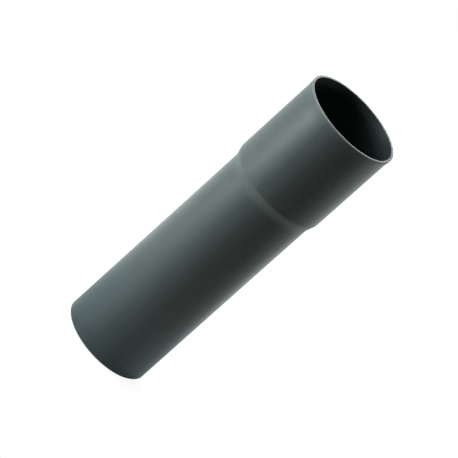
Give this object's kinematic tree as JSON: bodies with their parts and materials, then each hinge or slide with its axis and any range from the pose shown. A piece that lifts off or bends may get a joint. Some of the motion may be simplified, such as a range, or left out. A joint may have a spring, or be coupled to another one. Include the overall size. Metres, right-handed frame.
{
  "type": "plastic drain pipe",
  "caption": "Short length of round plastic drain pipe with a plain socket belled out of one end and a square-cut spigot at the other.",
  "frame": {"origin": "centre of the plain end, on the surface the pipe stands on", "axes": "+Z along the pipe's axis, from the plain end up to the socket's mouth; X and Y are any two square radii, because the pipe is round"},
  "size_m": [0.1182, 0.1182, 0.385],
  "materials": {
    "grey_pvc": "dark iron-grey extruded PVC with a satin skin"
  },
  "bodies": {
    "root": {"drain_pipe": "grey_pvc"}
  },
  "joints": []
}
